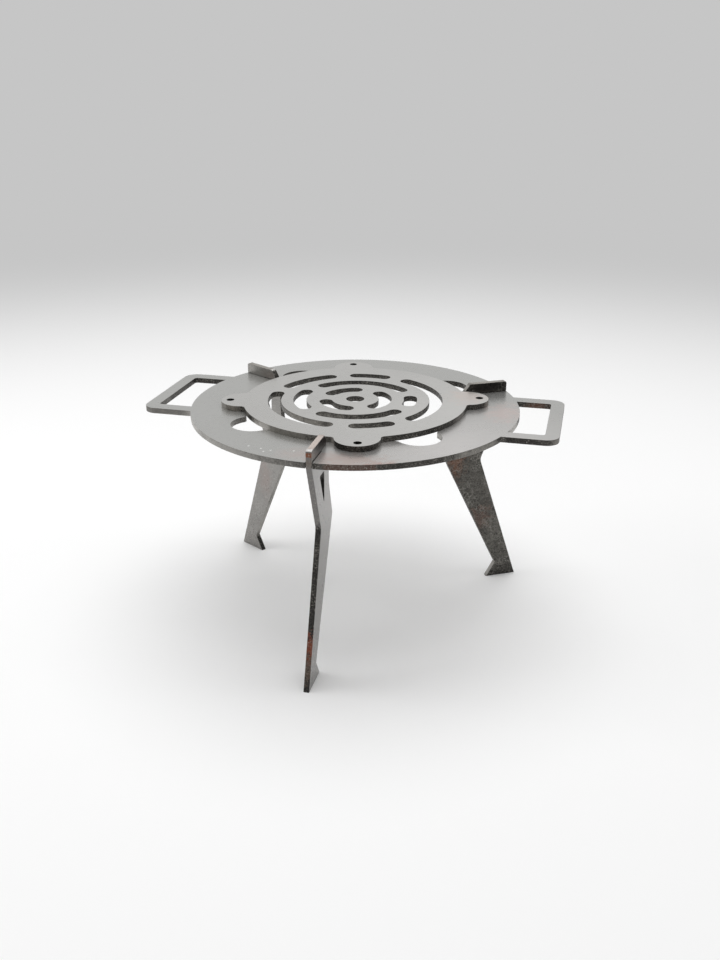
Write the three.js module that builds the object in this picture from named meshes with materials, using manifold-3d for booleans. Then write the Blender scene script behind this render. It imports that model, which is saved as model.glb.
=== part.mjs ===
import * as THREE from 'three';
import { mergeVertices } from 'three/addons/utils/BufferGeometryUtils.js';
import Module from 'manifold-3d';

// A knock-down stand of flat steel plate: a ring with two handles, three legs that slide into open
// slots in the ring's rim, and a loose slotted grate. Millimetres, +Z up, the floor at z = 0.
// +X runs through the handles and the front leg points to -Y.

// The plate and its fits
const plate = 5;
const kerf = 0.3; // gap all round between the grate's outline and the opening it was cut from
const looseFit = 0.3; // play between the ring and each face of a leg's notch
const slotPlay = 0.5; // play on each side of a leg in its rim slot

// The grate, with ears that carry it and curved slots in rows
const grateRadius = 102;
const earCount = 4;
const earRadius = 19.5;
const earReach = 20.75; // from the grate's round edge to an ear's tip
const earFillet = 4;
const earHoleRadius = 3.5;
const earHoleInset = 8.25; // from an ear's tip to its hole's centre
const earToHook = 4.7; // gap between an ear's side and the hook beside it
const centreHoleRadius = 8.25;
const slotWidth = 12;
const grateRim = 22; // plain plate outside the outer row
const rowWeb = 11.25; // plate left between two rows
const bridge = 13.4; // plate left between two slots of a row

// Where each row's bridges lie, in degrees from the first ear, the outer row first
const bridgeAngles = [
  [56.5, 98.25, 156.4, 259.25, 301],
  [16, 139.1, 220.3, 327.1],
  [60.5, 167.6, 280],
];

// The ring and its handles
const ringBand = 48; // from the grate's round edge to the rim
const ringHeight = 200; // from the floor to the ring's top face
const openingTurn = 45; // from the handles' axis to the opening's first lobe, degrees
const handleSpan = 110; // across both arms
const handleDepth = 37.5; // from the rim to the grip's outer edge
const handleArm = 12.5;
const handleGrip = 12;
const handleCorner = 12;
const windowCorner = 2.5;

// The legs
const legNames = ['leg_front', 'leg_right', 'leg_left']; // evenly spaced, anticlockwise
const firstLegTurn = 270; // from the handles' axis, degrees
const hookToGrate = 5.5; // gap between a hook's end and the grate's round edge
const hookHeight = 10; // above the ring's top face
const hookEndRun = 5;
const hookEndDrop = 6.5;
const hookCorner = 2.5;
const notchDepth = 15.5; // how far the ring enters the leg
const shoulderStep = 6.5; // the shoulder under the ring reaches this much further in than the hook
const shoulderDrop = 36; // below the ring's top face
const kneeDrop = 68;
const kneeInset = 23.2; // from the rim to the outer knee
const kneeWidth = 35.3;
const outerKneeCorner = 8;
const innerKneeCorner = 5;
const footReach = 21.7; // beyond the rim
const footLength = 32;
const toeHeight = 15.5;
const toeCut = 9;

// The three-cornered window under each shoulder
const windowWall = 14; // from the shoulder's inner edge
const windowDrop = 20.5;
const windowWidth = 12.5;
const windowHeight = 29;
const windowLean = 1.3;
const windowRound = 0.8;

// How far a straight step may cut inside a round stretch, and how far a cutter stands past its plate
const chordError = 0.04;
const overcut = 1;

const ringRadius = grateRadius + ringBand;
const openingRadius = grateRadius + kerf;
const earTip = grateRadius + earReach;
const hookEnd = grateRadius + hookToGrate;
const neck = hookEnd + notchDepth; // the leg's upright between its notch and the rim
const legTurns = legNames.map((name, i) => {
  return THREE.MathUtils.degToRad(firstLegTurn + (360 * i) / legNames.length);
});

const wasm = await Module();
wasm.setup();

// Outlines, as lists of points

// One round stretch, both ends included
function arc(x, y, radius, from, to) {
  const step = 2 * Math.acos(1 - Math.min(chordError / radius, 0.3));
  const count = Math.max(2, Math.ceil(Math.abs(to - from) / step));
  const points = [];
  for (let i = 0; i <= count; i++) {
    const angle = from + ((to - from) * i) / count;
    points.push(new THREE.Vector2(x + radius * Math.cos(angle), y + radius * Math.sin(angle)));
  }
  return points;
}

// Stretches end to end, without the points that two of them share
function joined(...stretches) {
  const points = stretches.flat();
  return points.filter((point, i) => point.distanceTo(points.at(i - 1)) > 1e-5);
}

function circle(x, y, radius) {
  return joined(arc(x, y, radius, 0, 2 * Math.PI));
}

// Straight edges through [x, y, corner radius] points
function roundedOutline(corners) {
  const stretches = corners.map(([x, y, radius = 0], i) => {
    const corner = new THREE.Vector2(x, y);
    if (radius === 0) return [corner];
    const [backX, backY] = corners.at(i - 1);
    const [onX, onY] = corners[(i + 1) % corners.length];
    const back = new THREE.Vector2(backX, backY).sub(corner).normalize();
    const on = new THREE.Vector2(onX, onY).sub(corner).normalize();
    const half = Math.acos(back.dot(on)) / 2;
    const middle = back.clone().add(on).normalize();
    const centre = corner.clone().addScaledVector(middle, radius / Math.sin(half));
    const start = corner.clone().addScaledVector(back, radius / Math.tan(half)).sub(centre);
    const turn = Math.sign(on.cross(back)) * (Math.PI - 2 * half);
    return arc(centre.x, centre.y, radius, start.angle(), start.angle() + turn);
  });
  return joined(...stretches);
}

function rectangle(width, height, corner) {
  const [x, y] = [width / 2, height / 2];
  return roundedOutline([[x, y, corner], [-x, y, corner], [-x, -y, corner], [x, -y, corner]]);
}

// A circle with evenly spaced round lobes, each blended into it by two fillets
function lobedOutline(radius, lobeRadius, lobeTip, fillet, turn) {
  const lobeAt = lobeTip - lobeRadius;
  const filletAt = radius + fillet;
  const along = (lobeAt ** 2 + filletAt ** 2 - (lobeRadius + fillet) ** 2) / (2 * lobeAt);
  const across = Math.sqrt(filletAt ** 2 - along ** 2);
  const bodyEdge = Math.atan2(across, along);
  const lobeEdge = Math.atan2(across, along - lobeAt);
  const spacing = (2 * Math.PI) / earCount;
  const lobe = [
    arc(along, -across, fillet, Math.PI - bodyEdge, Math.PI - lobeEdge),
    arc(lobeAt, 0, lobeRadius, -lobeEdge, lobeEdge),
    arc(along, across, fillet, lobeEdge - Math.PI, bodyEdge - Math.PI),
    arc(0, 0, radius, bodyEdge, spacing - bodyEdge),
  ].flat();
  const centre = new THREE.Vector2();
  const stretches = [];
  for (let i = 0; i < earCount; i++) {
    stretches.push(lobe.map((point) => point.clone().rotateAround(centre, turn + i * spacing)));
  }
  return joined(...stretches);
}

// A slot along a circle, with round ends whose tips lie at the two angles
function curvedSlot(radius, from, to) {
  const half = slotWidth / 2;
  const first = from + half / radius;
  const last = to - half / radius;
  return joined(
    arc(0, 0, radius + half, first, last),
    arc(radius * Math.cos(last), radius * Math.sin(last), half, last, last + Math.PI),
    arc(0, 0, radius - half, last, first),
    arc(radius * Math.cos(first), radius * Math.sin(first), half, first - Math.PI, first),
  );
}

// Solids

function extruded(outline, holes = [], depth = plate) {
  const shape = new THREE.Shape(outline);
  shape.holes = holes.map((hole) => new THREE.Path(hole));
  return new THREE.ExtrudeGeometry(shape, { depth, bevelEnabled: false });
}

function cutter(outline) {
  return extruded(outline, [], plate + 2 * overcut).translate(0, 0, -overcut);
}

function toSolid(geometry) {
  geometry.deleteAttribute('normal');
  geometry.deleteAttribute('uv');
  const merged = mergeVertices(geometry);
  return new wasm.Manifold(new wasm.Mesh({
    numProp: 3,
    vertProperties: new Float32Array(merged.attributes.position.array),
    triVerts: new Uint32Array(merged.index.array),
  }));
}

function toGeometry(solid) {
  const mesh = solid.getMesh();
  const geometry = new THREE.BufferGeometry();
  geometry.setAttribute('position', new THREE.BufferAttribute(mesh.vertProperties, mesh.numProp));
  geometry.setIndex(new THREE.BufferAttribute(mesh.triVerts, 1));
  const faceted = geometry.toNonIndexed();
  faceted.computeVertexNormals();
  return faceted;
}

// The ring: a round plate and both handles in one, less its opening and the rim slots
function ringGeometry() {
  const handleReach = ringRadius + handleDepth;
  const frame = toSolid(extruded(rectangle(2 * handleReach, handleSpan, handleCorner)));
  const windows = toSolid(cutter(rectangle(
    2 * (handleReach - handleGrip),
    handleSpan - 2 * handleArm,
    windowCorner,
  )));
  const opening = toSolid(cutter(lobedOutline(
    openingRadius,
    earRadius + kerf,
    earTip + kerf,
    earFillet - kerf,
    THREE.MathUtils.degToRad(openingTurn),
  )));
  let ring = frame.subtract(windows).add(toSolid(extruded(circle(0, 0, ringRadius)))).subtract(opening);
  const slotEnd = neck - looseFit;
  const slotLength = ringRadius + overcut - slotEnd;
  for (const turn of legTurns) {
    const slot = cutter(rectangle(slotLength, plate + 2 * slotPlay, 0));
    slot.translate(slotEnd + slotLength / 2, 0, 0).rotateZ(turn);
    ring = ring.subtract(toSolid(slot));
  }
  return toGeometry(ring);
}

// The grate: an eared plate with a centre hole, a hole in each ear and rows of curved slots
function grateGeometry() {
  const holes = [circle(0, 0, centreHoleRadius)];
  for (let i = 0; i < earCount; i++) {
    const angle = (2 * Math.PI * i) / earCount;
    const holeAt = earTip - earHoleInset;
    holes.push(circle(holeAt * Math.cos(angle), holeAt * Math.sin(angle), earHoleRadius));
  }
  bridgeAngles.forEach((angles, row) => {
    const radius = grateRadius - grateRim - slotWidth / 2 - row * (slotWidth + rowWeb);
    if (radius - slotWidth / 2 < centreHoleRadius + rowWeb / 2) return;
    const halfBridge = bridge / 2 / radius;
    angles.forEach((angle, i) => {
      const next = i + 1 < angles.length ? angles[i + 1] : angles[0] + 360;
      const from = THREE.MathUtils.degToRad(angle) + halfBridge;
      holes.push(curvedSlot(radius, from, THREE.MathUtils.degToRad(next) - halfBridge));
    });
  });
  return extruded(lobedOutline(grateRadius, earRadius, earTip, earFillet, 0), holes);
}

// A leg, drawn flat with x outward from the ring's axis and y up from the floor
function legGeometry() {
  const hookTop = ringHeight + hookHeight;
  const overRing = ringHeight + looseFit;
  const underRing = ringHeight - plate - looseFit;
  const shoulder = hookEnd - shoulderStep;
  const knee = ringHeight - kneeDrop;
  const heel = ringRadius + footReach;
  const toe = heel - footLength;
  const outline = roundedOutline([
    [ringRadius, hookTop, hookCorner],
    [hookEnd + hookEndRun, hookTop],
    [hookEnd, hookTop - hookEndDrop],
    [hookEnd, overRing],
    [neck, overRing],
    [neck, underRing],
    [shoulder, underRing],
    [shoulder, ringHeight - shoulderDrop],
    [ringRadius - kneeInset - kneeWidth, knee, innerKneeCorner],
    [toe + toeCut, toeHeight],
    [toe, 0],
    [heel, 0],
    [ringRadius - kneeInset, knee, outerKneeCorner],
    [ringRadius, ringHeight - plate],
  ]);
  const window = [shoulder + windowWall, ringHeight - windowDrop];
  const hole = roundedOutline([
    [window[0], window[1], windowRound],
    [window[0] + windowLean, window[1] - windowHeight, windowRound],
    [window[0] + windowWidth, window[1], windowRound],
  ]);
  return extruded(outline, [hole]).translate(0, 0, -plate / 2).rotateX(Math.PI / 2);
}

function steelPart(name, geometry, color, roughness) {
  const material = new THREE.MeshStandardMaterial({ color, roughness, metalness: 0.8 });
  const mesh = new THREE.Mesh(geometry, material);
  mesh.name = name;
  return mesh;
}

// Assembly

const stand = new THREE.Group();

const ring = steelPart('top_ring', ringGeometry(), 0xb0aeab, 0.6);
ring.position.z = ringHeight - plate;
stand.add(ring);

// The first ear lies just short of the right leg's hook, which keeps the grate from turning.
const grate = steelPart('grate_plate', grateGeometry(), 0xb3b2b0, 0.55);
const earOffset = Math.asin((earRadius + earToHook + plate / 2) / (earTip - earRadius));
grate.position.z = ringHeight;
grate.rotation.z = legTurns[legNames.indexOf('leg_right')] - earOffset;
stand.add(grate);

legNames.forEach((name, i) => {
  const leg = steelPart(name, legGeometry(), 0x8f8d8a, 0.65);
  leg.rotation.z = legTurns[i];
  stand.add(leg);
});

// The origin is the middle of the stand's footprint: only the front foot reaches past the rim along Y.
stand.position.y = footReach / 2;

export default stand;
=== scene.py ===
import math

import bpy
from mathutils import Matrix, Vector


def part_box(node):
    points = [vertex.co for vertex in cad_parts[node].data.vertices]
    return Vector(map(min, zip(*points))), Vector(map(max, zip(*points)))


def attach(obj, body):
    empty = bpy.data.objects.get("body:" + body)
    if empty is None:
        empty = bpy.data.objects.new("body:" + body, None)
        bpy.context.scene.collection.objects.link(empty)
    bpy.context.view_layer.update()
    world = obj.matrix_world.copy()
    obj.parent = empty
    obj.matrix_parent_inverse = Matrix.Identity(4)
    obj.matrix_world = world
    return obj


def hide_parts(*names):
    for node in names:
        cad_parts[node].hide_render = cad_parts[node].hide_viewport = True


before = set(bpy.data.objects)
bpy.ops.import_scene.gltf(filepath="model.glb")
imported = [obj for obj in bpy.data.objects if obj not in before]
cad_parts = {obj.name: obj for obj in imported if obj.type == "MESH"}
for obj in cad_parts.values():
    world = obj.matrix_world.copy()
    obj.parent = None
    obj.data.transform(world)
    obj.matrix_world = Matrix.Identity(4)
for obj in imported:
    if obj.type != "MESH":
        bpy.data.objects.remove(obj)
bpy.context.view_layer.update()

mm = 0.001
print("frame loaded:", ", ".join(sorted(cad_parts)))

# The camera stands where the photograph was taken from

photoView = {
    "lens": 35.745,
    "sensor": 36,
    "place": (0.2040, -0.80045, 0.4778),
    "tilt": 67.07,  # degrees up from straight down
    "turn": 13.815,
}


def makeCamera(view):
    data = bpy.data.cameras.new("photoCamera")
    data.lens = view["lens"]
    data.sensor_width = view["sensor"]
    camera = bpy.data.objects.new("photoCamera", data)
    camera.location = view["place"]
    camera.rotation_euler = (math.radians(view["tilt"]), 0, math.radians(view["turn"]))
    bpy.context.scene.collection.objects.link(camera)
    bpy.context.scene.camera = camera


makeCamera(photoView)
print("camera placed")

# What every plate shares: the ring's axis and the heights come from the frame

ringLow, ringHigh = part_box("top_ring")
grateLow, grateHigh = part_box("grate_plate")
ringAxis = ((grateLow + grateHigh) / 2).to_2d()

plateCut = {
    "thickness": ringHigh.z - ringLow.z,
    "arris": 0.4 * mm,  # how far the torch rounds an edge over, where a look doesn't say
    "raggedness": 0.4,
    "raggedNoise": (310, 3),  # a noise is its scale per metre, detail, roughness and distortion
    "step": 0.9 * mm,  # between two points of an outline
    "bend": math.radians(12),  # and the widest turn between them on an arc
    "doubled": 0.0001 * mm,  # points closer than this are one
    "arrisSteps": 3,
    "wallSteps": 4,
    "mitreLimit": 0.3,  # the least cosine that a corner's inset is divided by
    "sharpTurn": math.radians(38),
    "mergeReach": 0.003 * mm,
}

# Nodes: one helper puts a node in a tree and wires it


def put(tree, kind, inputs=None, **settings):
    node = tree.nodes.new(kind)
    for name, value in settings.items():
        setattr(node, name, value)
    for key, value in (inputs or {}).items():
        if isinstance(value, bpy.types.NodeSocket):
            tree.links.new(value, node.inputs[key])
        else:
            node.inputs[key].default_value = value
    return node


def maths(tree, operation, *values):
    return put(tree, "ShaderNodeMath", dict(enumerate(values)), operation=operation).outputs[0]


def vectors(tree, operation, *values):
    keys = (0, "Scale") if operation == "SCALE" else range(3)
    node = put(tree, "ShaderNodeVectorMath", dict(zip(keys, values)), operation=operation)
    return node.outputs["Value" if operation == "DOT_PRODUCT" else "Vector"]


def noise(tree, vector, scale, detail, roughness=0.5, distortion=0.0, output=0):
    inputs = {"Vector": vector, "Scale": scale, "Detail": detail}
    inputs.update({"Roughness": roughness, "Distortion": distortion})
    return put(tree, "ShaderNodeTexNoise", inputs).outputs[output]


def ramp(tree, value, low, high, newLow=0.0, newHigh=1.0):
    inputs = {"Value": value, "From Min": low, "From Max": high, "To Min": newLow, "To Max": newHigh}
    return put(tree, "ShaderNodeMapRange", inputs).outputs[0]


# Noise keeps near 0.5, and this spreads it from -1 to 1
def swung(tree, value, reach=0.2):
    return ramp(tree, value, 0.5 - reach, 0.5 + reach, -1, 1)


def mixed(tree, share, first, second):
    inputs = {0: share, 6: first, 7: second}
    return put(tree, "ShaderNodeMix", inputs, data_type="RGBA").outputs[2]


def joined(tree, *parts):
    node = tree.nodes.new("GeometryNodeJoinGeometry")
    for part in parts:
        tree.links.new(part, node.inputs[0])
    return node.outputs[0]


def makeTree(kind, name, inputs, outputs):
    tree = bpy.data.node_groups.new(name, kind)
    for label, socket, value in inputs:
        item = tree.interface.new_socket(label, in_out="INPUT", socket_type="NodeSocket" + socket)
        if value is not None:
            item.default_value = value
    for label, socket in outputs:
        tree.interface.new_socket(label, in_out="OUTPUT", socket_type="NodeSocket" + socket)
    return tree, tree.nodes.new("NodeGroupInput").outputs, tree.nodes.new("NodeGroupOutput").inputs


def spread(tree, gap=190, rows=6):
    for i, node in enumerate(tree.nodes):
        node.location = (gap * (i // rows), -gap * (i % rows))


# Outlines are lists of flat points, outer ones anticlockwise


def arcPoints(centre, radius, first, last):
    turn = abs(last - first)
    count = math.ceil(max(turn * radius / plateCut["step"], turn / plateCut["bend"]))
    angles = [first + (last - first) * i / count for i in range(count + 1)]
    return [Vector(centre) + radius * Vector((math.cos(a), math.sin(a))) for a in angles]


def turned(points, angle):
    turn = Matrix.Rotation(angle, 2)
    return [turn @ point for point in points]


def roundedOutline(corners):
    points = []
    for i, (x, y, radius) in enumerate(corners):
        corner = Vector((x, y))
        if not radius:
            points.append(corner)
            continue
        back = (Vector(corners[i - 1][:2]) - corner).normalized()
        on = (Vector(corners[(i + 1) % len(corners)][:2]) - corner).normalized()
        half = back.angle(on) / 2
        centre = corner + (back + on).normalized() * radius / math.sin(half)
        start = corner + back * radius / math.tan(half) - centre
        first = math.atan2(start.y, start.x)
        turn = math.copysign(math.pi - 2 * half, on.cross(back))
        points += arcPoints(centre, radius, first, first + turn)
    return points


# A circle with evenly spaced round lobes, each run into it by two fillets
def lobedOutline(radius, lobeRadius, lobeTip, fillet, lobes, turn):
    lobeAt = lobeTip - lobeRadius
    filletAt = radius + fillet
    x = (lobeAt ** 2 + filletAt ** 2 - (lobeRadius + fillet) ** 2) / (2 * lobeAt)
    y = math.sqrt(filletAt ** 2 - x ** 2)
    bodyEdge = math.atan2(y, x)
    lobeEdge = math.atan2(y, x - lobeAt)
    spacing = 2 * math.pi / lobes
    lobe = arcPoints((x, -y), fillet, math.pi - bodyEdge, math.pi - lobeEdge)
    lobe += arcPoints((lobeAt, 0), lobeRadius, -lobeEdge, lobeEdge)
    lobe += arcPoints((x, y), fillet, lobeEdge - math.pi, bodyEdge - math.pi)
    lobe += arcPoints((0, 0), radius, bodyEdge, spacing - bodyEdge)
    return [point for i in range(lobes) for point in turned(lobe, turn + i * spacing)]


# The same outline without doubled points, and with no straight run longer than a step
def evenOutline(points):
    apart = plateCut["doubled"]
    kept = [point for i, point in enumerate(points) if (point - points[i - 1]).length > apart]
    even = []
    for i, point in enumerate(kept):
        run = kept[(i + 1) % len(kept)] - point
        pieces = math.ceil(run.length / plateCut["step"])
        even += [point + run * k / pieces for k in range(pieces)]
    return even


# A plate cut along closed curves: the edge is swept along each, and the faces are filled between them
def cutPlateTree(sizes):
    tree, given, result = makeTree("GeometryNodeTree", "cutPlate", [
        ("Geometry", "Geometry", None),
        ("Thickness", "Float", sizes["thickness"]),
        ("Arris", "Float", sizes["arris"]),
        ("Raggedness", "Float", sizes["raggedness"]),
        ("Face Material", "Material", None),
        ("Cut Material", "Material", None),
    ], [("Geometry", "Geometry")])
    position = put(tree, "GeometryNodeInputPosition").outputs[0]

    def neighbour(offset):
        index = put(tree, "GeometryNodeOffsetPointInCurve", {"Offset": offset}).outputs["Point Index"]
        inputs = {"Value": position, "Index": index}
        return put(tree, "GeometryNodeFieldAtIndex", inputs, data_type="FLOAT_VECTOR").outputs[0]

    # Into the plate, mitred at corners
    up = (0, 0, 1)
    ahead = vectors(tree, "CROSS_PRODUCT", up, vectors(tree, "SUBTRACT", neighbour(1), position))
    behind = vectors(tree, "CROSS_PRODUCT", up, vectors(tree, "SUBTRACT", position, neighbour(-1)))
    ahead = vectors(tree, "NORMALIZE", ahead)
    middle = vectors(tree, "NORMALIZE", vectors(tree, "ADD", ahead, vectors(tree, "NORMALIZE", behind)))
    cosine = maths(tree, "MAXIMUM", vectors(tree, "DOT_PRODUCT", middle, ahead), sizes["mitreLimit"])
    inward = vectors(tree, "SCALE", middle, maths(tree, "DIVIDE", 1, cosine))
    ragged = swung(tree, noise(tree, position, *sizes["raggedNoise"]))
    swing = maths(tree, "MULTIPLY_ADD", ragged, given["Raggedness"], 1)
    arris = maths(tree, "MULTIPLY", given["Arris"], swing)

    rails = tree.nodes.new("GeometryNodeCaptureAttribute")
    captured = {"Rail": ("VECTOR", position), "Inward": ("VECTOR", inward), "Round": ("FLOAT", arris)}
    for label, (kind, source) in captured.items():
        rails.capture_items.new(kind, label)
        tree.links.new(source, rails.inputs[label])
    tree.links.new(given["Geometry"], rails.inputs["Geometry"])
    rail, inward, arris = (rails.outputs[label] for label in captured)

    # Rows of the edge, from the lower face to the upper
    last = 2 * sizes["arrisSteps"] + sizes["wallSteps"]
    line = put(tree, "GeometryNodeCurvePrimitiveLine").outputs[0]
    rows = put(tree, "GeometryNodeResampleCurve", {"Curve": line, "Count": last + 1}).outputs[0]
    index = put(tree, "GeometryNodeInputIndex").outputs[0]
    profile = tree.nodes.new("GeometryNodeCaptureAttribute")
    profile.capture_items.new("FLOAT", "Row")
    tree.links.new(rows, profile.inputs["Geometry"])
    tree.links.new(index, profile.inputs["Row"])
    row = profile.outputs["Row"]
    swept = {"Curve": rails.outputs["Geometry"], "Profile Curve": profile.outputs["Geometry"]}
    wall = put(tree, "GeometryNodeCurveToMesh", swept).outputs[0]
    fromBottom = ramp(tree, row, 0, sizes["arrisSteps"], 0, math.pi / 2)
    fromTop = ramp(tree, row, last - sizes["arrisSteps"], last, math.pi / 2, 0)
    climb = ramp(tree, row, sizes["arrisSteps"], last - sizes["arrisSteps"])
    sines = maths(tree, "ADD", maths(tree, "SINE", fromBottom), maths(tree, "SINE", fromTop))
    pull = maths(tree, "MULTIPLY", arris, maths(tree, "SUBTRACT", 2, sines))
    flatWall = maths(tree, "MULTIPLY_ADD", arris, -2, given["Thickness"])
    curved = maths(tree, "SUBTRACT", maths(tree, "COSINE", fromTop), maths(tree, "COSINE", fromBottom))
    curved = maths(tree, "MULTIPLY", arris, maths(tree, "ADD", 1, curved))
    height = maths(tree, "MULTIPLY_ADD", climb, flatWall, curved)
    raised = put(tree, "ShaderNodeCombineXYZ", {"Z": height}).outputs[0]
    place = vectors(tree, "ADD", vectors(tree, "ADD", rail, raised), vectors(tree, "SCALE", inward, pull))
    wall = put(tree, "GeometryNodeSetPosition", {"Geometry": wall, "Position": place}).outputs[0]
    nearBottom = ramp(tree, row, 0, sizes["arrisSteps"] + 1, 1, 0)
    nearTop = ramp(tree, row, last - sizes["arrisSteps"] - 1, last, 0, 1)
    closeness = maths(tree, "MAXIMUM", nearBottom, nearTop)
    inputs = {"Geometry": wall, "Name": "arris", "Value": closeness}
    wall = put(tree, "GeometryNodeStoreNamedAttribute", inputs).outputs[0]
    wall = put(tree, "GeometryNodeFlipFaces", {"Mesh": wall}).outputs[0]
    marked = put(tree, "GeometryNodeCaptureAttribute", {"Geometry": wall}, domain="FACE")
    marked.capture_items.new("BOOLEAN", "Cut")
    marked.inputs["Cut"].default_value = True
    wall, isCut = marked.outputs["Geometry"], marked.outputs["Cut"]

    # The two faces
    edge = vectors(tree, "ADD", rail, vectors(tree, "SCALE", inward, arris))
    shrunk = put(tree, "GeometryNodeSetPosition", {"Geometry": rails.outputs["Geometry"], "Position": edge})
    lower = put(tree, "GeometryNodeFillCurve", {"Curve": shrunk.outputs[0]}).outputs[0]
    lift = put(tree, "ShaderNodeCombineXYZ", {"Z": given["Thickness"]}).outputs[0]
    upper = put(tree, "GeometryNodeTransform", {"Geometry": lower, "Translation": lift}).outputs[0]
    lower = put(tree, "GeometryNodeFlipFaces", {"Mesh": lower}).outputs[0]
    inputs = {"Geometry": joined(tree, upper, lower), "Shade Smooth": False}
    flat = put(tree, "GeometryNodeSetShadeSmooth", inputs).outputs[0]

    # Shading breaks where the wall turns a corner
    wall = put(tree, "GeometryNodeSetShadeSmooth", {"Geometry": wall, "Shade Smooth": True}).outputs[0]
    angle = put(tree, "GeometryNodeInputMeshEdgeAngle").outputs[0]
    inputs = {0: angle, 1: sizes["sharpTurn"]}
    sharp = put(tree, "FunctionNodeCompare", inputs, operation="GREATER_THAN").outputs[0]
    inputs = {"Geometry": wall, "Selection": sharp, "Shade Smooth": False}
    wall = put(tree, "GeometryNodeSetShadeSmooth", inputs, domain="EDGE").outputs[0]
    inputs = {"Geometry": joined(tree, wall, flat), "Distance": sizes["mergeReach"]}
    merged = put(tree, "GeometryNodeMergeByDistance", inputs).outputs[0]
    solid = put(tree, "GeometryNodeRealizeInstances", {"Geometry": merged}).outputs[0]
    inputs = {"Geometry": solid, "Material": given["Face Material"]}
    faced = put(tree, "GeometryNodeSetMaterial", inputs).outputs[0]
    inputs = {"Geometry": faced, "Selection": isCut, "Material": given["Cut Material"]}
    finished = put(tree, "GeometryNodeSetMaterial", inputs).outputs[0]
    tree.links.new(finished, result["Geometry"])
    spread(tree)
    return tree


def setInputs(modifier, values):
    for item in modifier.node_group.interface.items_tree:
        if item.item_type == "SOCKET" and item.in_out == "INPUT" and item.name in values:
            modifier[item.identifier] = values[item.name]


# Closed curves, turned into a finished plate by one or more node trees
def plateObject(name, outlines, trees, place):
    curve = bpy.data.curves.new(name + "Outline", "CURVE")
    for outline in outlines:
        points = evenOutline(outline)
        spline = curve.splines.new("POLY")
        spline.points.add(len(points) - 1)
        for point, (x, y) in zip(spline.points, points):
            point.co = (x, y, 0, 1)
        spline.use_cyclic_u = True
    drawing = bpy.data.objects.new(name + "Outline", curve)
    bpy.context.scene.collection.objects.link(drawing)
    for tree, values in trees:
        modifier = drawing.modifiers.new(tree.name, "NODES")
        modifier.node_group = tree
        setInputs(modifier, values)
    bpy.context.view_layer.update()
    evaluated = drawing.evaluated_get(bpy.context.evaluated_depsgraph_get())
    mesh = bpy.data.meshes.new_from_object(evaluated)
    mesh.name = name
    if mesh.materials[0] is None:
        mesh.materials.pop(index=0)
    mesh.transform(place)
    piece = bpy.data.objects.new(name, mesh)
    bpy.context.scene.collection.objects.link(piece)
    bpy.data.objects.remove(drawing)
    print(name, "cut:", len(mesh.polygons), "faces")
    return piece


cutPlate = cutPlateTree(plateCut)


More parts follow.
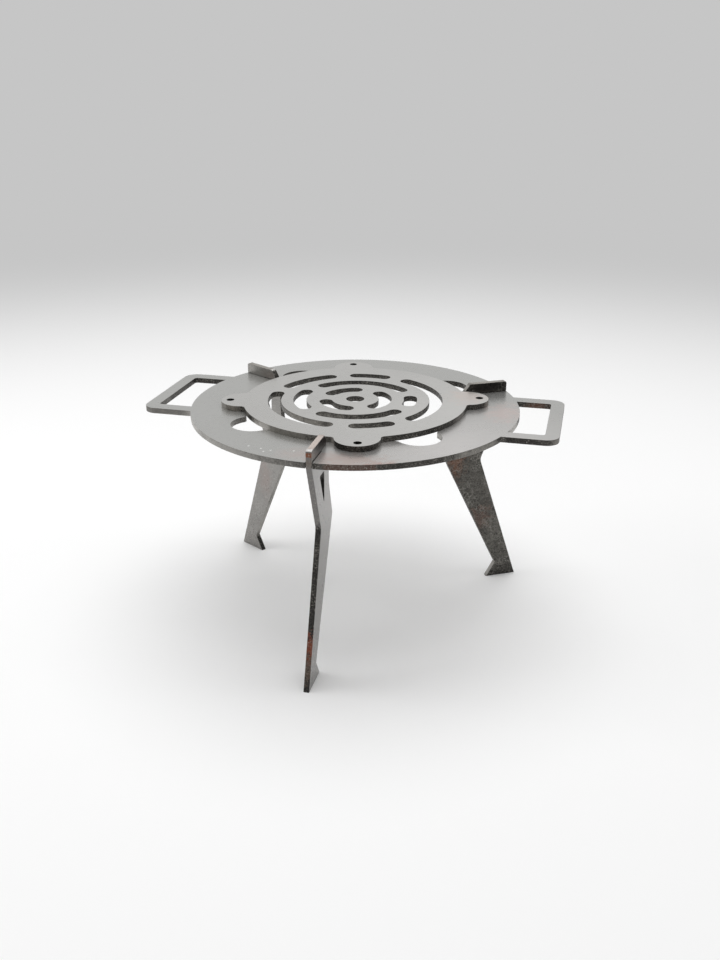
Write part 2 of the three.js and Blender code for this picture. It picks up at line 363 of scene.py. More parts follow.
# Curved slots: each point of the slot object carries its circle's radius and the angles of its two tips
def slotRowsTree(sizes):
    tree, given, result = makeTree("GeometryNodeTree", "slotRows", [
        ("Geometry", "Geometry", None),
        ("Slots", "Object", None),
        ("Slot Width", "Float", sizes["slotWidth"]),
        ("Centre Hole", "Float", sizes["centreHole"]),
        ("Ears", "Int", sizes["ears"]),
        ("Ear Hole", "Float", sizes["earHole"]),
        ("Ear Hole Circle", "Float", sizes["tip"] - sizes["earHoleInset"]),
    ], [("Geometry", "Geometry")])

    def named(name):
        return put(tree, "GeometryNodeInputNamedAttribute", {"Name": name}).outputs[0]

    def times(first, second):
        return maths(tree, "MULTIPLY", first, second)

    count = sizes["slotPoints"]
    arcs = 0.5 - sizes["endShare"]
    ring = put(tree, "GeometryNodeCurvePrimitiveCircle", {"Resolution": count}).outputs[0]
    points = put(tree, "GeometryNodeObjectInfo", {"Object": given["Slots"]}).outputs["Geometry"]
    slots = put(tree, "GeometryNodeInstanceOnPoints", {"Points": points, "Instance": ring}).outputs[0]
    slots = put(tree, "GeometryNodeRealizeInstances", {"Geometry": slots}).outputs[0]
    index = put(tree, "GeometryNodeSplineParameter").outputs["Index"]
    lap = maths(tree, "DIVIDE", index, count)
    half = maths(tree, "DIVIDE", given["Slot Width"], 2)
    radius = named("circle")
    capTurn = maths(tree, "DIVIDE", half, radius)
    first = maths(tree, "ADD", named("first"), capTurn)
    last = maths(tree, "SUBTRACT", named("last"), capTurn)
    run = maths(tree, "SUBTRACT", ramp(tree, lap, 0, arcs), ramp(tree, lap, 0.5, 0.5 + arcs))
    angle = maths(tree, "MULTIPLY_ADD", run, maths(tree, "SUBTRACT", last, first), first)
    roundFar = ramp(tree, lap, arcs, 0.5, 0, math.pi)
    roundNear = ramp(tree, lap, 0.5 + arcs, 1, 0, math.pi)
    roll = maths(tree, "ADD", roundFar, roundNear)
    outward = maths(tree, "MULTIPLY_ADD", half, maths(tree, "COSINE", roll), radius)
    onward = times(half, maths(tree, "SINE", roll))
    cosine = maths(tree, "COSINE", angle)
    sine = maths(tree, "SINE", angle)
    x = maths(tree, "SUBTRACT", times(outward, cosine), times(onward, sine))
    y = maths(tree, "ADD", times(outward, sine), times(onward, cosine))
    place = put(tree, "ShaderNodeCombineXYZ", {"X": x, "Y": y}).outputs[0]
    slots = put(tree, "GeometryNodeSetPosition", {"Geometry": slots, "Position": place}).outputs[0]

    circle = {"Resolution": sizes["holePoints"], "Radius": given["Ear Hole"]}
    earHole = put(tree, "GeometryNodeCurvePrimitiveCircle", circle).outputs[0]
    square = {"Vertices": given["Ears"], "Radius": given["Ear Hole Circle"]}
    corners = put(tree, "GeometryNodeMeshCircle", square).outputs[0]
    inputs = {"Points": corners, "Instance": earHole}
    earHoles = put(tree, "GeometryNodeInstanceOnPoints", inputs).outputs[0]
    circle = {"Resolution": 2 * sizes["holePoints"], "Radius": given["Centre Hole"]}
    centreHole = put(tree, "GeometryNodeCurvePrimitiveCircle", circle).outputs[0]
    holes = joined(tree, slots, earHoles, centreHole)
    holes = put(tree, "GeometryNodeRealizeInstances", {"Geometry": holes}).outputs[0]
    holes = put(tree, "GeometryNodeReverseCurve", {"Curve": holes}).outputs[0]
    tree.links.new(joined(tree, given["Geometry"], holes), result["Geometry"])
    spread(tree)
    return tree


# Steel, as shader groups that every plate's two materials share


def linear(red, green, blue):
    shares = [value / 255 for value in (red, green, blue)]
    return (*[x / 12.92 if x <= 0.04045 else ((x + 0.055) / 1.055) ** 2.4 for x in shares], 1)


# A mask of small spots, in a few of the cells
def scattered(tree, vector, scale, edges, chances):
    cells = put(tree, "ShaderNodeTexVoronoi", {"Vector": vector, "Scale": scale}).outputs
    chance = put(tree, "ShaderNodeSeparateColor", {"Color": cells["Color"]}).outputs[0]
    return maths(tree, "MULTIPLY", ramp(tree, cells["Distance"], *edges), ramp(tree, chance, *chances))


# Rolled faces: clouds of mill scale, fine grain, broken pale veins, a few bright nicks.
# Two numbers are the ends of a ramp, and four also say what it goes from and to.

rolledSkin = {
    "cloud": (15, 3),
    "cloudShare": 0.45,  # and the blotches get the rest
    "cloudReach": 0.1,
    "blotch": (170, 5, 0.65, 0.5),
    "grain": (620, 4, 0.75),
    "swirl": (420, 4),
    "swirlReach": 4 * mm,
    "veinCells": 250,
    "veinEdges": (0.11, 0.02),
    "veinPlaces": (80, 4, 0.65),
    "veinPlaceEdges": (0.45, 0.62),
    "veinFade": (0.02, 0.05, 0.2, 1),  # on dark stains
    "nickCells": 330,
    "nickEdges": (0.26, 0.14),
    "nickChance": (0.965, 0.975),
    "roughness": (0.35, 0.65, 0.25, 0.33),
    "bump": (240, 2),
}


def rolledFaceGroup(values):
    tree, given, result = makeTree("ShaderNodeTree", "rolledFace", [
        ("Vector", "Vector", None),
        ("Ground", "Color", linear(190, 189, 187)),
        ("Pale", "Color", linear(226, 224, 220)),
        ("Clouds", "Float", 0.06),
        ("Grain", "Float", 0.06),
        ("Veins", "Float", 0.0),
        ("Nicks", "Float", 0.5),
    ], [("Color", "Color"), ("Roughness", "Float"), ("Height", "Float")])
    vector = given["Vector"]
    cloud = noise(tree, vector, *values["cloud"])
    blotch = noise(tree, vector, *values["blotch"])
    grain = noise(tree, vector, *values["grain"])
    blotch = maths(tree, "MULTIPLY", blotch, 1 - values["cloudShare"])
    blend = maths(tree, "MULTIPLY_ADD", cloud, values["cloudShare"], blotch)
    shade = maths(tree, "MULTIPLY", swung(tree, blend, values["cloudReach"]), given["Clouds"])
    swing = maths(tree, "MULTIPLY", swung(tree, grain), given["Grain"])
    shade = maths(tree, "ADD", maths(tree, "ADD", shade, swing), 1)
    color = vectors(tree, "SCALE", given["Ground"], shade)
    swirl = noise(tree, vector, *values["swirl"], output="Color")
    bent = vectors(tree, "ADD", vector, vectors(tree, "SCALE", swirl, values["swirlReach"]))
    inputs = {"Vector": bent, "Scale": values["veinCells"]}
    cells = put(tree, "ShaderNodeTexVoronoi", inputs, feature="DISTANCE_TO_EDGE").outputs
    vein = ramp(tree, cells["Distance"], *values["veinEdges"])
    place = ramp(tree, noise(tree, vector, *values["veinPlaces"]), *values["veinPlaceEdges"])
    vein = maths(tree, "MULTIPLY", vein, place)
    depth = put(tree, "ShaderNodeRGBToBW", {"Color": given["Ground"]}).outputs[0]
    vein = maths(tree, "MULTIPLY", vein, ramp(tree, depth, *values["veinFade"]))
    color = mixed(tree, maths(tree, "MULTIPLY", vein, given["Veins"]), color, given["Pale"])
    nick = scattered(tree, vector, values["nickCells"], values["nickEdges"], values["nickChance"])
    color = mixed(tree, maths(tree, "MULTIPLY", nick, given["Nicks"]), color, given["Pale"])
    tree.links.new(color, result["Color"])
    tree.links.new(ramp(tree, blend, *values["roughness"]), result["Roughness"])
    tree.links.new(noise(tree, vector, *values["bump"]), result["Height"])
    spread(tree)
    return tree


# Cut edges: a sandy, burnt skin with drag lines down the thickness and bright bare grains

cutSkin = {
    "drag": (700, 2),
    "dragStretch": (1, 1, 0.25),
    "dragShare": 0.14,
    "sand": (1000, 3, 0.8),
    "sandShare": 0.78,
    "place": (100, 3),
    "placeShare": 0.08,
    "bareEdges": (0.42, 0.64),
    "bareFade": (0.006, 0.03, 0.4, 1),  # on dark stains
    "speckCells": 620,
    "speckEdges": (0.4, 0.2),
    "speckChance": (0.9, 0.92),
    "roughness": (0.3, 0.7, 0.6, 0.36),
    "sandHeight": 0.6,
}


def laserCutGroup(values):
    tree, given, result = makeTree("ShaderNodeTree", "laserCut", [
        ("Vector", "Vector", None),
        ("Ground", "Color", linear(46, 44, 42)),
        ("Bare", "Color", linear(170, 166, 158)),
        ("Share", "Float", 0.7),
        ("Specks", "Float", 0.6),
    ], [("Color", "Color"), ("Roughness", "Float"), ("Height", "Float")])
    vector = given["Vector"]
    drag = noise(tree, vectors(tree, "MULTIPLY", vector, values["dragStretch"]), *values["drag"])
    sand = noise(tree, vector, *values["sand"])
    place = noise(tree, vector, *values["place"])
    blend = maths(tree, "MULTIPLY", sand, values["sandShare"])
    blend = maths(tree, "MULTIPLY_ADD", drag, values["dragShare"], blend)
    blend = maths(tree, "MULTIPLY_ADD", place, values["placeShare"], blend)
    bare = maths(tree, "POWER", ramp(tree, blend, *values["bareEdges"]), 2)
    depth = put(tree, "ShaderNodeRGBToBW", {"Color": given["Ground"]}).outputs[0]
    share = maths(tree, "MULTIPLY", given["Share"], ramp(tree, depth, *values["bareFade"]))
    color = mixed(tree, maths(tree, "MULTIPLY", bare, share), given["Ground"], given["Bare"])
    speck = scattered(tree, vector, values["speckCells"], values["speckEdges"], values["speckChance"])
    color = mixed(tree, maths(tree, "MULTIPLY", speck, given["Specks"]), color, given["Bare"])
    tree.links.new(color, result["Color"])
    tree.links.new(ramp(tree, sand, *values["roughness"]), result["Roughness"])
    tree.links.new(maths(tree, "MULTIPLY_ADD", sand, values["sandHeight"], drag), result["Height"])
    spread(tree)
    return tree


# A stain, rust bloom or worn place, or a painted light, shade or highlight, on one spot, its outline broken
# by noise

patchShape = {
    "depth": 20 * mm,
    "border": 0.7,  # how far out a patch is half faded, as a share of its size
    "breakup": (5, 0.65),  # the detail and roughness of its noise
}


def patchGroup(border, breakup):
    tree, given, result = makeTree("ShaderNodeTree", "patch", [
        ("Vector", "Vector", None),
        ("Color", "Color", None),
        ("Centre", "Vector", None),
        ("Size", "Vector", (0.01, 0.01, 0.01)),
        ("Tint", "Color", linear(140, 90, 70)),
        ("Strength", "Float", 0.5),
        ("Softness", "Float", 0.4),
        ("Breakup", "Float", 2.4),
        ("Grain", "Float", 130),
    ], [("Color", "Color")])
    away = vectors(tree, "SUBTRACT", given["Vector"], given["Centre"])
    away = vectors(tree, "DIVIDE", away, given["Size"])
    reach = put(tree, "ShaderNodeVectorMath", {0: away}, operation="LENGTH").outputs["Value"]
    broken = noise(tree, given["Vector"], given["Grain"], *breakup)
    reach = maths(tree, "MULTIPLY_ADD", maths(tree, "SUBTRACT", broken, 0.5), given["Breakup"], reach)
    outer = maths(tree, "ADD", border, given["Softness"])
    inner = maths(tree, "SUBTRACT", border, given["Softness"])
    mask = maths(tree, "MULTIPLY", ramp(tree, reach, outer, inner), given["Strength"])
    tree.links.new(mixed(tree, mask, given["Color"], given["Tint"]), result["Color"])
    spread(tree)
    return tree


# Edges made bright where two faces meet: partly worn, partly a painted highlight along the arris

arrisSheenAndWearSizes = {
    "place": (240, 3),
    "placeEdges": (0.3, 0.6, 0.3, 1.0),
    "nearEdges": (0.45, 0.9),
}


def arrisSheenAndWearGroup(values):
    tree, given, result = makeTree("ShaderNodeTree", "arrisSheenAndWear", [
        ("Vector", "Vector", None),
        ("Color", "Color", None),
        ("Arris", "Float", 0.0),
        ("Bright", "Color", linear(205, 202, 198)),
        ("Sheen And Wear", "Float", 0.6),
    ], [("Color", "Color")])
    sheenAndWearPlaces = ramp(tree, noise(tree, given["Vector"], *values["place"]), *values["placeEdges"])
    near = ramp(tree, given["Arris"], *values["nearEdges"])
    sheenAndWear = maths(tree, "MULTIPLY", maths(tree, "MULTIPLY", near, sheenAndWearPlaces), given["Sheen And Wear"])
    tree.links.new(mixed(tree, sheenAndWear, given["Color"], given["Bright"]), result["Color"])
    spread(tree)
    return tree


rolledFace = rolledFaceGroup(rolledSkin)
laserCut = laserCutGroup(cutSkin)
patchNodes = patchGroup(patchShape["border"], patchShape["breakup"])
arrisSheenAndWear = arrisSheenAndWearGroup(arrisSheenAndWearSizes)


# Object coordinates, turned so that the plate lies flat with its lower face at zero
def plateVector(tree, place):
    source = put(tree, "ShaderNodeTexCoord").outputs["Object"]
    inputs = {"Vector": source, "Location": place.to_translation(), "Rotation": place.to_euler()}
    return put(tree, "ShaderNodeMapping", inputs, vector_type="TEXTURE").outputs[0]


# Its centre and size are in millimetres on the plate
def patch(at, size, tint, strength, **more):
    size = [value * mm for value in size] + [patchShape["depth"]]
    values = {"Centre": [value * mm for value in at], "Size": size}
    values.update({"Tint": linear(*tint), "Strength": strength})
    return {**values, **{key.capitalize(): value for key, value in more.items()}}


# One plate finish: the ground colour, the patches on it, some of them painted light and shade, then the
# skin and the worn and painted-bright edges over them
def steel(name, place, skinNodes, skin, patches, metal, bumpHeight, sheenAndWear=None):
    material = bpy.data.materials.new(name)
    material.use_nodes = True
    tree = material.node_tree
    surface = tree.nodes["Principled BSDF"]
    vector = plateVector(tree, place)
    ground = skin["Ground"]
    for spot in patches:
        inputs = {"Vector": vector, "Color": ground, **spot}
        ground = put(tree, "ShaderNodeGroup", inputs, node_tree=patchNodes).outputs["Color"]
    inputs = {"Vector": vector, **skin, "Ground": ground}
    skin = put(tree, "ShaderNodeGroup", inputs, node_tree=skinNodes).outputs
    color = skin["Color"]
    # the edges made bright: partly worn, partly a painted highlight along the arris
    if sheenAndWear:
        arris = put(tree, "ShaderNodeAttribute", attribute_name="arris").outputs["Fac"]
        inputs = {"Vector": vector, "Color": color, "Arris": arris, "Sheen And Wear": sheenAndWear}
        color = put(tree, "ShaderNodeGroup", inputs, node_tree=arrisSheenAndWear).outputs["Color"]
    tree.links.new(color, surface.inputs["Base Color"])
    tree.links.new(skin["Roughness"], surface.inputs["Roughness"])
    surface.inputs["Metallic"].default_value = metal
    bump = put(tree, "ShaderNodeBump", {"Height": skin["Height"], "Distance": bumpHeight})
    tree.links.new(bump.outputs[0], surface.inputs["Normal"])
    spread(tree)
    return material


steelFinish = {
    "faceMetal": 0.8,
    "faceBump": 0.004 * mm,
    "cutMetal": 0.7,
    "cutBump": 0.1 * mm,
}


def plateInputs(name, place, look):
    face = steel(name + "Face", place, rolledFace, look["face"], look["facePatches"],
                 steelFinish["faceMetal"], steelFinish["faceBump"])
    cut = steel(name + "Cut", place, laserCut, look["cut"], look["cutPatches"],
                steelFinish["cutMetal"], steelFinish["cutBump"], look["sheenAndWear"])
    return {"Face Material": face, "Cut Material": cut, "Arris": look["arris"]}


def turnedUp(turn, height=0.0):
    return Matrix.Translation((*ringAxis, height)) @ Matrix.Rotation(turn, 4, "Z")


# The ring: rim, handles and leg slots in one outline, with a window in each handle

ringSizes = {
    "radius": 150 * mm,
    "handleReach": ringHigh.x,
    "handleSpan": 110 * mm,
    "handleArm": 12.5 * mm,
    "handleGrip": 12 * mm,
    "handleCorner": 12 * mm,
    "windowCorner": 2.5 * mm,
    "opening": 102.1 * mm,  # its 0.3 mm of play is left out, as no light shows through it in the photograph
    "lobe": 19.8 * mm,
    "lobeTip": 123.05 * mm,
    "lobeFillet": 3.7 * mm,
    "lobes": 4,
    "openingTurn": math.radians(45),
    "slotEnd": 122.7 * mm,
    "slotWidth": 6 * mm,
    "legTurns": [math.radians(turn) for turn in (270, 30, 150)],
}
ringNicks = ((-58.4, -125.7), (-46.6, -128.9), (-42.5, -134.8), (-37.6, -131.1), (-19.1, -127.7))
ringLook = {
    "face": {"Ground": linear(203, 203, 200), "Clouds": 0.025, "Grain": 0.008, "Nicks": 0.7},
    "cut": {"Ground": linear(45, 43, 41), "Share": 0.62},
    "arris": 0.08 * mm,
    "sheenAndWear": 0.6,
    "facePatches": [
        # painted light: the top made lighter on the right and front right
        patch((100, -90, 5), (110, 110), (236, 233, 231), 0.9, softness=0.6, breakup=0.1),
        patch((32, -137, 5), (42, 18), (214, 196, 189), 0.8),
        patch((-12, -134, 5), (22, 14), (214, 201, 196), 0.5),
        patch((58, -141, 5), (18, 8), (210, 178, 170), 0.7),
        patch((136, 6, 5), (20, 28), (230, 214, 209), 0.7),
        *[patch((*at, 5), (1.1, 1.8), (255, 255, 252), 1, softness=0.3, breakup=0.2) for at in ringNicks],
    ],
    "cutPatches": [
        # painted light: the rim's and left handle's walls lighter on the left and front left
        patch((-84, -128, 2), (88, 50), (166, 164, 160), 0.8, softness=0.45, breakup=1),
        patch((-138, -76, 2), (50, 70), (208, 206, 202), 0.85, softness=0.5, breakup=1),
        patch((-160, -55, 2), (26, 4), (98, 96, 92), 0.85, softness=0.2, breakup=0.6),
        patch((120, -84, 2), (30, 38), (132, 130, 125), 0.8),
        # painted shade: the right handle's front wall darker
        patch((156, -55, 2), (18, 4), (30, 28, 26), 0.8, softness=0.2, breakup=0.6),
        patch((186, -48, 2), (6, 9), (122, 119, 114), 0.8),
        patch((34, -148, 2), (30, 30), (84, 64, 57), 0.85, softness=0.05, breakup=0.4),
        patch((148, -28, 2), (8, 22), (182, 180, 176), 1, softness=0.2, breakup=0.3),
        patch((163, 43, 2), (12, 5), (98, 62, 44), 0.6),
        patch((89, -58, 2), (8, 13), (178, 176, 172), 0.95, softness=0.2, breakup=0.3),
    ],
}


def rimOutline(sizes):
    rim = sizes["radius"]
    slot = [(rim, -1), (sizes["slotEnd"], -1), (sizes["slotEnd"], 1), (rim, 1)]
    slot = [Vector((x, side * sizes["slotWidth"] / 2)) for x, side in slot]
    span = sizes["handleSpan"] / 2
    root = math.sqrt(rim ** 2 - span ** 2)
    reach, corner = sizes["handleReach"], sizes["handleCorner"]
    handle = [(root, -span, 0), (reach, -span, corner), (reach, span, corner), (root, span, 0)]
    handle = roundedOutline(handle)
    features = [(turn, sizes["slotWidth"] / 2, slot) for turn in sizes["legTurns"]]
    features += [(turn, span, handle) for turn in (0, math.pi)]
    features.sort(key=lambda feature: feature[0])
    points = []
    for i, (turn, half, shape) in enumerate(features):
        nextTurn, nextHalf, _ = features[(i + 1) % len(features)]
        points += turned(shape, turn)
        first = turn + math.asin(half / rim)
        last = nextTurn - math.asin(nextHalf / rim) + (2 * math.pi if nextTurn < turn else 0)
        points += arcPoints((0, 0), rim, first, last)[1:-1]
    return points


def windowOutline(sizes, turn):
    half = sizes["handleSpan"] / 2 - sizes["handleArm"]
    far = sizes["handleReach"] - sizes["handleGrip"]
    corner = sizes["windowCorner"]
    edge = math.asin(half / sizes["radius"])
    root = sizes["radius"] * math.cos(edge)
    points = roundedOutline([(root, -half, 0), (far, -half, corner), (far, half, corner), (root, half, 0)])
    points += arcPoints((0, 0), sizes["radius"], edge, -edge)[1:-1]
    return turned(points, turn)[::-1]


def makeRing(sizes, look):
    place = turnedUp(0, ringLow.z)
    opening = lobedOutline(sizes["opening"], sizes["lobe"], sizes["lobeTip"], sizes["lobeFillet"],
                           sizes["lobes"], sizes["openingTurn"])[::-1]
    outlines = [rimOutline(sizes), opening, windowOutline(sizes, 0), windowOutline(sizes, math.pi)]
    return plateObject("ring", outlines, [(cutPlate, plateInputs("ring", place, look))], place)


# The grate: an eared outline in Python, every hole by the node tree

grateSizes = {
    "radius": 102.3 * mm,
    "ears": 4,
    "ear": 19.5 * mm,
    "tip": 122.75 * mm,
    "earFillet": 4 * mm,
    "earHole": 3.5 * mm,
    "earHoleInset": 8.25 * mm,
    "centreHole": 8.25 * mm,
    "slotWidth": 12 * mm,
    "rows": (74 * mm, 50.75 * mm, 27.5 * mm),
    "bridge": 13.4 * mm,
    "bridgeTurns": ((56.5, 98.25, 156.4, 259.25, 301), (16, 139.1, 220.3, 327.1), (60.5, 167.6, 280)),
    "earToHook": 4.7 * mm,
    "slotPoints": 180,
    "endShare": 0.12,  # of a slot's points, those round one end
    "holePoints": 44,
}
earHolePlaces = ((114.5, 0), (0, 114.5), (-114.5, 0), (0, -114.5))
grateLook = {
    "face": {"Ground": linear(214, 213, 210), "Clouds": 0.03, "Grain": 0.01, "Nicks": 0.4},
    "cut": {"Ground": linear(48, 46, 44), "Share": 0.7},
    "arris": 0.08 * mm,
    "sheenAndWear": 0.6,
    "facePatches": [
        # painted light: the top made lighter on the right
        patch((110, -60, 5), (130, 120), (230, 229, 226), 0.9, softness=0.6, breakup=0.1),
        patch((104, 4, 5), (20, 26), (232, 220, 213), 0.7),
    ],
    "cutPatches": [
        # painted light: the lighter tints on the front-left walls and the left ear
        patch((-60, -70, 2), (66, 60), (142, 139, 133), 0.75),
        patch((-114, -22, 2), (14, 12), (140, 134, 126), 0.8),
        patch((-121, -8, 2), (7, 11), (182, 179, 174), 0.8),
        patch((-94, -42, 2), (7, 7), (30, 28, 27), 0.9),
        patch((-80, -63, 2), (15, 15), (186, 183, 178), 0.85, breakup=1.5),
        # painted shade: the front ear's wall and the front-right walls darker
        patch((0, -116, 2), (40, 14), (28, 24, 23), 0.85),
        patch((85, -79, 2), (54, 32), (28, 26, 25), 0.75),
        patch((91, -46, 2), (12, 16), (122, 119, 115), 0.7),
        patch((121, -8, 2), (5, 12), (150, 144, 138), 0.75, breakup=1.5),
        patch((-19.5, -103, 2), (3, 6), (160, 155, 150), 0.8, breakup=1),
        patch((19, -106, 2), (4, 8), (104, 102, 100), 0.7, breakup=1),
        # painted shade: the walls of the four ear holes near black
        *[patch((*at, 2), (6, 6), (6, 6, 6), 1, softness=0.1, breakup=0.2) for at in earHolePlaces],
    ],
}


def slotPoints(sizes):
    rows = []
    for radius, turns in zip(sizes["rows"], sizes["bridgeTurns"]):
        half = sizes["bridge"] / 2 / radius
        for i, turn in enumerate(turns):
            following = turns[i + 1] if i + 1 < len(turns) else turns[0] + 360
            rows.append((radius, math.radians(turn) + half, math.radians(following) - half))
    mesh = bpy.data.meshes.new("slotPoints")
    mesh.from_pydata([(radius, 0, 0) for radius, first, last in rows], [], [])
    for name, values in zip(("circle", "first", "last"), zip(*rows)):
        mesh.attributes.new(name, "FLOAT", "POINT").data.foreach_set("value", values)
    points = bpy.data.objects.new("slotPoints", mesh)
    bpy.context.scene.collection.objects.link(points)
    return points


# It is turned so that one ear lies just beside the right leg's hook
def makeGrate(sizes, look):
    halfPlate = plateCut["thickness"] / 2
    offset = math.asin((sizes["ear"] + sizes["earToHook"] + halfPlate) / (sizes["tip"] - sizes["ear"]))
    place = turnedUp(ringSizes["legTurns"][1] - offset, grateLow.z)
    outline = lobedOutline(sizes["radius"], sizes["ear"], sizes["tip"], sizes["earFillet"],
                           sizes["ears"], 0)
    slots = slotPoints(sizes)
    trees = [(slotRowsTree(sizes), {"Slots": slots}), (cutPlate, plateInputs("grate", place, look))]
    grate = plateObject("grate", [outline], trees, place)
    bpy.data.objects.remove(slots)
    return grate


# The legs: one drawing, cut three times

legSizes = {
    "ringTop": ringHigh.z,
    "rim": ringSizes["radius"],
    "looseFit": 0.3 * mm,
    "hookEnd": 107.5 * mm,
    "hookTop": 210 * mm,
    "hookRun": 5 * mm,
    "hookDrop": 6.5 * mm,
    "hookCorner": 2.5 * mm,
    "neck": 123 * mm,
    "shoulder": 101 * mm,
    "shoulderLow": 164 * mm,
    "knee": 132 * mm,
    "innerKnee": 91.5 * mm,
    "innerKneeCorner": 5 * mm,
    "outerKnee": 126.8 * mm,
    "outerKneeCorner": 8 * mm,
    "heel": 171.7 * mm,
    "footLength": 32 * mm,
    "toeHeight": 15.5 * mm,
    "toeCut": 9 * mm,
    "window": (115 * mm, 179.5 * mm),
    "windowWidth": 12.5 * mm,
    "windowHeight": 29 * mm,
    "windowLean": 1.3 * mm,
    "windowCorner": 0.8 * mm,
}
# The legs' face grounds are partly each plate's own scale and partly painted light and shade: the right
# leg's face painted darker, the left and front legs' faces lighter, as light falls on each
legLooks = {
    "front": {
        "face": {"Ground": linear(153, 151, 149), "Clouds": 0.06, "Grain": 0.06},
        "cut": {"Ground": linear(116, 114, 113), "Share": 0.45},
        "arris": plateCut["arris"],
        "sheenAndWear": 0.7,
        "facePatches": [
            # painted shade: the hook's face above the ring darker
            patch((118, 206, 0), (24, 9), (40, 29, 27), 1, breakup=0.8),
        ],
        "cutPatches": [
            patch((140, 62, 2), (110, 106), (22, 21, 20), 0.97, softness=0.04, breakup=0.3),
            patch((121, 166, 2), (11, 22), (20, 19, 18), 1, softness=0.1, breakup=0.2),
            # painted light and highlight: the hook's top strip lighter, and a white highlight on its front
            # corner
            patch((130, 211, 2), (32, 3), (238, 224, 216), 0.95, softness=0.2, breakup=0.4),
            patch((148.3, 210.3, 2), (3.4, 1.8), (255, 252, 250), 1, softness=0.2, breakup=0.2),
            patch((151.4, 206.3, 2), (5, 3), (120, 66, 36), 0.95, softness=0.15, breakup=0.8),
            patch((150, 199, 2), (5, 5), (108, 97, 88), 0.7),
            patch((143, 118, 2), (10.5, 14), (130, 126, 119), 0.85, softness=0.1, breakup=7, grain=900),
            patch((155, 88, 2), (11, 17), (130, 126, 119), 0.85, softness=0.1, breakup=7, grain=900),
            patch((161, 36, 2), (16, 15.5), (120, 58, 34), 0.9, softness=0.1, breakup=4.4, grain=420),
            patch((164, 18, 2), (12, 16), (84, 70, 60), 0.8, softness=0.1, breakup=3, grain=300),
        ],
    },
    "right": {
        "face": {
            "Ground": linear(78, 76, 72), "Pale": linear(146, 144, 138),
            "Clouds": 0.35, "Grain": 0.7, "Veins": 0.55, "Nicks": 0.3,
        },
        "cut": {"Ground": linear(50, 48, 46), "Share": 0.8},
        "arris": plateCut["arris"],
        "sheenAndWear": 0.25,
        "facePatches": [
            patch((101, 134, 5), (11, 22), (104, 76, 62), 0.7, breakup=3, grain=260),
            patch((130, 68, 5), (13, 15), (98, 74, 65), 0.5, breakup=4, grain=300),
            patch((146, 38, 5), (26, 32), (96, 94, 89), 0.75),
            patch((156, 0, 5), (40, 10), (46, 44, 41), 0.9, softness=0.5, breakup=0.3),
            # painted shade: the hook's face above the ring darker
            patch((128, 206, 5), (34, 11), (38, 35, 34), 1, breakup=0.4),
        ],
        "cutPatches": [
            # painted light: the hook's top strip and sloped end lighter
            patch((130, 211, 2), (32, 3), (200, 196, 190), 0.8, softness=0.2, breakup=0.4),
            patch((109, 206, 2), (6, 6), (200, 197, 192), 0.8, softness=0.2, breakup=0.4),
            patch((144, 8, 2), (12, 16), (172, 170, 166), 0.95, softness=0.2, breakup=0.6),
        ],
    },
    "left": {
        "face": {
            "Ground": linear(143, 141, 138), "Pale": linear(204, 201, 196),
            "Clouds": 0.05, "Grain": 0.05, "Veins": 0.25,
        },
        "cut": {"Ground": linear(50, 48, 46), "Share": 0.8},
        "arris": plateCut["arris"],
        "sheenAndWear": 0.5,
        "facePatches": [
            patch((130, 90, 0), (12, 26), (154, 134, 128), 0.3),
            # painted shade: the hook's face above the ring darker inward, lighter at its outer corner
            patch((128, 206, 0), (36, 11), (134, 132, 128), 1, softness=0.25, breakup=0.2),
            patch((118, 204, 0), (12, 6), (122, 112, 107), 0.6),
            patch((146, 208, 0), (10, 8), (156, 154, 150), 0.8),
        ],
        "cutPatches": [
            # painted light, shade and highlight: the hook's top strip lighter, its inner end darker, a
            # white highlight at the top of that end
            patch((130, 211, 2), (32, 3), (196, 192, 186), 0.8, softness=0.2, breakup=0.4),
            patch((109, 204, 2), (4, 8), (26, 25, 24), 0.95, softness=0.1, breakup=0.2),
            patch((113, 210, 2), (2.5, 1.2), (245, 243, 240), 0.9, softness=0.2, breakup=0.2),
            patch((92, 90, 2), (50, 74), (158, 156, 152), 1, softness=0.15, breakup=0.3),
            patch((125, 30, 2), (36, 50), (158, 156, 152), 1, softness=0.15, breakup=0.3),
            patch((142, 8, 2), (12, 13), (20, 19, 18), 1, softness=0.1, breakup=0.2),
        ],
    },
}


def legOutlines(sizes):
    top, rim, fit = sizes["ringTop"], sizes["rim"], sizes["looseFit"]
    underRing = top - plateCut["thickness"] - fit
    toe = sizes["heel"] - sizes["footLength"]
    outline = roundedOutline([
        (rim, sizes["hookTop"], sizes["hookCorner"]),
        (sizes["hookEnd"] + sizes["hookRun"], sizes["hookTop"], 0),
        (sizes["hookEnd"], sizes["hookTop"] - sizes["hookDrop"], 0),
        (sizes["hookEnd"], top + fit, 0),
        (sizes["neck"], top + fit, 0),
        (sizes["neck"], underRing, 0),
        (sizes["shoulder"], underRing, 0),
        (sizes["shoulder"], sizes["shoulderLow"], 0),
        (sizes["innerKnee"], sizes["knee"], sizes["innerKneeCorner"]),
        (toe + sizes["toeCut"], sizes["toeHeight"], 0),
        (toe, 0, 0),
        (sizes["heel"], 0, 0),
        (sizes["outerKnee"], sizes["knee"], sizes["outerKneeCorner"]),
        (rim, top - plateCut["thickness"], 0),
    ])
    x, y = sizes["window"]
    corner = sizes["windowCorner"]
    window = roundedOutline([
        (x, y, corner),
        (x + sizes["windowLean"], y - sizes["windowHeight"], corner),
        (x + sizes["windowWidth"], y, corner),
    ])
    return [outline, window[::-1]]


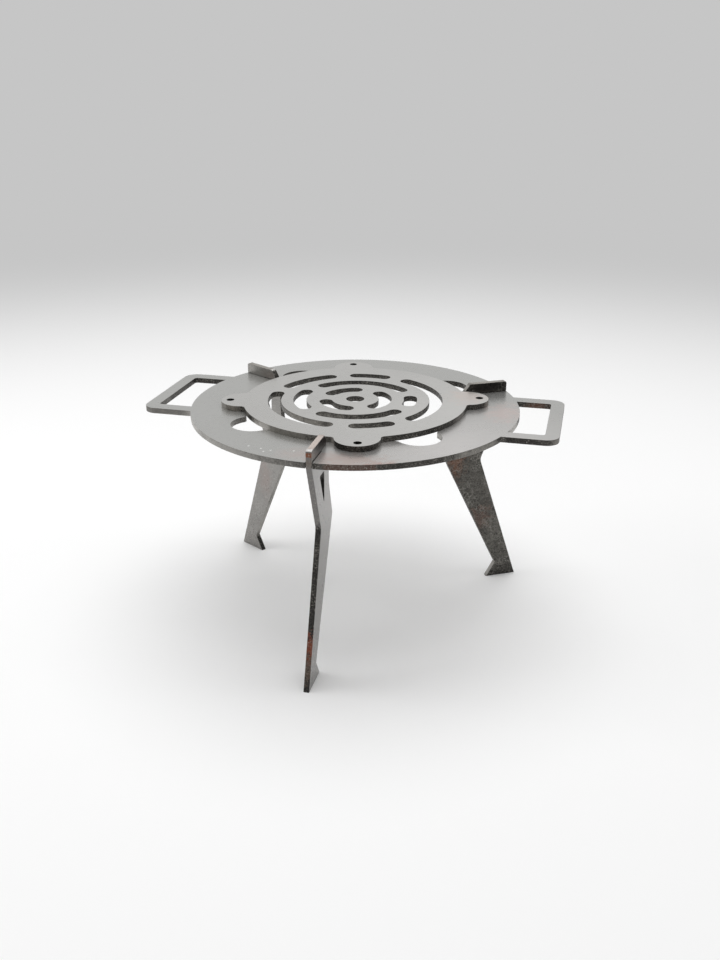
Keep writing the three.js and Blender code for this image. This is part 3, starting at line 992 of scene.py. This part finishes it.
def makeLeg(name, turn, sizes, look):
    middle = Matrix.Translation((0, 0, -plateCut["thickness"] / 2))
    place = turnedUp(turn) @ Matrix.Rotation(math.radians(90), 4, "X") @ middle
    name = name + "Leg"
    return plateObject(name, legOutlines(sizes), [(cutPlate, plateInputs(name, place, look))], place)


pieces = [
    (makeRing(ringSizes, ringLook), "ring", "top_ring", "ring_steel"),
    (makeGrate(grateSizes, grateLook), "grate", "grate_plate", "grate_steel"),
]
for (name, look), turn in zip(legLooks.items(), ringSizes["legTurns"]):
    leg = makeLeg(name, turn, legSizes, look)
    pieces.append((leg, name + "_leg", "leg_" + name, "leg_steel"))
for piece, body, node, slot in pieces:
    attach(piece, body)
    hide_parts(node)
print("stand assembled")

# Floor, lamps and surroundings

studio = {
    "floor": 0.94,
    "floorRoughness": 0.9,
    "floorShine": 0.1,
    "floorReach": 40.0,
    "distance": linear(198, 198, 198),  # what lies beyond the lit floor
    "litReach": 0.4,  # from here outwards the floor blends into the distance
    "lostReach": 2.6,
    "sky": 0.32,
    "lamps": {
        "overhead": {"place": (0, 0.3, 2.2), "size": (2.4, 2.4), "strength": 0.84},
        "left": {"place": (-2.1, -0.4, 0.9), "size": (1.4, 1.4), "strength": 0.32},
        "right": {"place": (2.2, 0.5, 1.0), "size": (1.4, 1.4), "strength": 0.1},
        "back": {"place": (-0.9, 3.0, 2.0), "size": (5.0, 2.2), "strength": 0.015},
    },
}


def seenDirectly(tree):
    path = put(tree, "ShaderNodeLightPath").outputs
    seen = maths(tree, "MAXIMUM", path["Is Camera Ray"], path["Is Glossy Ray"])
    return maths(tree, "MAXIMUM", seen, path["Is Transmission Ray"])


def makeFloor(values):
    mesh = bpy.data.meshes.new("floor")
    reach = values["floorReach"]
    corners = [(-reach, -reach, 0), (reach, -reach, 0), (reach, reach, 0), (-reach, reach, 0)]
    mesh.from_pydata(corners, [], [(0, 1, 2, 3)])
    floor = bpy.data.objects.new("floor", mesh)
    bpy.context.scene.collection.objects.link(floor)
    material = bpy.data.materials.new("floorPaper")
    material.use_nodes = True
    tree = material.node_tree
    paper = tree.nodes["Principled BSDF"]
    paper.inputs["Base Color"].default_value = (*[values["floor"]] * 3, 1)
    paper.inputs["Roughness"].default_value = values["floorRoughness"]
    paper.inputs["Specular IOR Level"].default_value = values["floorShine"]
    distance = put(tree, "ShaderNodeEmission", {"Color": values["distance"]}).outputs[0]
    source = put(tree, "ShaderNodeTexCoord").outputs["Object"]
    away = put(tree, "ShaderNodeVectorMath", {0: source}, operation="LENGTH").outputs["Value"]
    inputs = {"Value": away, "From Min": values["litReach"], "From Max": values["lostReach"]}
    lost = put(tree, "ShaderNodeMapRange", inputs, interpolation_type="SMOOTHERSTEP").outputs[0]
    share = maths(tree, "MULTIPLY", lost, seenDirectly(tree))
    inputs = {0: share, 1: paper.outputs[0], 2: distance}
    blended = put(tree, "ShaderNodeMixShader", inputs).outputs[0]
    tree.links.new(blended, tree.nodes["Material Output"].inputs["Surface"])
    spread(tree)
    mesh.materials.append(material)


def makeSky(values):
    world = bpy.data.worlds.new("studio")
    bpy.context.scene.world = world
    world.use_nodes = True
    tree = world.node_tree
    sky = tree.nodes["Background"]
    sky.inputs["Color"].default_value = (1, 1, 1, 1)
    sky.inputs["Strength"].default_value = values["sky"]
    distance = put(tree, "ShaderNodeBackground", {"Color": values["distance"]}).outputs[0]
    inputs = {0: seenDirectly(tree), 1: sky.outputs[0], 2: distance}
    blended = put(tree, "ShaderNodeMixShader", inputs).outputs[0]
    tree.links.new(blended, tree.nodes["World Output"].inputs["Surface"])
    spread(tree)


# A lamp of strength 1 lights a white surface that faces it at the stand to just white.
# The steel mirrors the surroundings, and no lamp.
def makeLamps(lamps):
    target = Vector((*ringAxis, ringHigh.z / 2))
    for name, lamp in lamps.items():
        data = bpy.data.lights.new(name, "AREA")
        data.shape = "ELLIPSE"
        data.size, data.size_y = lamp["size"]
        light = bpy.data.objects.new(name, data)
        light.visible_glossy = False
        light.location = lamp["place"]
        ray = target - light.location
        data.energy = lamp["strength"] * math.pi ** 2 * ray.length_squared
        light.rotation_euler = ray.to_track_quat("-Z", "Y").to_euler()
        bpy.context.scene.collection.objects.link(light)


makeFloor(studio)
makeSky(studio)
makeLamps(studio["lamps"])
bpy.context.scene.view_settings.view_transform = "Standard"
print("studio ready")
